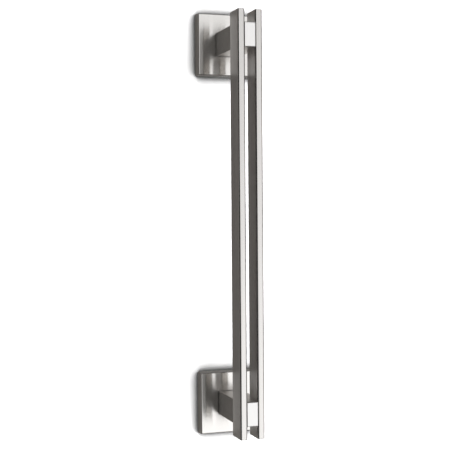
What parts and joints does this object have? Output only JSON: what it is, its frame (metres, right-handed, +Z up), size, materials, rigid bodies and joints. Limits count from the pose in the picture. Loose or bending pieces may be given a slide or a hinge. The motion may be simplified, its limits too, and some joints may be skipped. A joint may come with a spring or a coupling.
{
  "type": "bar pull handle",
  "caption": "Upright pull handle: parallel flat bars on square posts, standing on square rosettes over hidden wall plates.",
  "frame": {"origin": "on the wall plane, midway between the two rosettes and on the centre line between the two bars", "axes": "+X to the right seen from the front, +Y into the wall, so the bars face -Y, +Z up along the bars"},
  "size_m": [0.052, 0.065, 0.352],
  "materials": {
    "satin_bar": "satin, brushed along the bar",
    "satin_post": "satin, brushed along the post",
    "satin_rosette": "satin, brushed across",
    "zinc_plate": "zinc plated",
    "turned_steel": "turned",
    "screw_steel": "zinc plated",
    "black_steel": "black oxide",
    "dowel_steel": "ground"
  },
  "bodies": {
    "root": {"bar_left": "satin_bar", "bar_right": "satin_bar", "post_upper": "satin_post", "post_lower": "satin_post", "rosette_upper": "satin_rosette", "rosette_lower": "satin_rosette", "wall_plate_upper": "zinc_plate", "wall_plate_lower": "zinc_plate", "spigot_upper": "turned_steel", "spigot_lower": "turned_steel", "plate_screw_upper": "screw_steel", "plate_screw_lower": "screw_steel", "grub_screw_upper": "black_steel", "grub_screw_lower": "black_steel", "dowel_upper_front": "dowel_steel", "dowel_upper_back": "dowel_steel", "dowel_lower_front": "dowel_steel", "dowel_lower_back": "dowel_steel"}
  },
  "joints": []
}
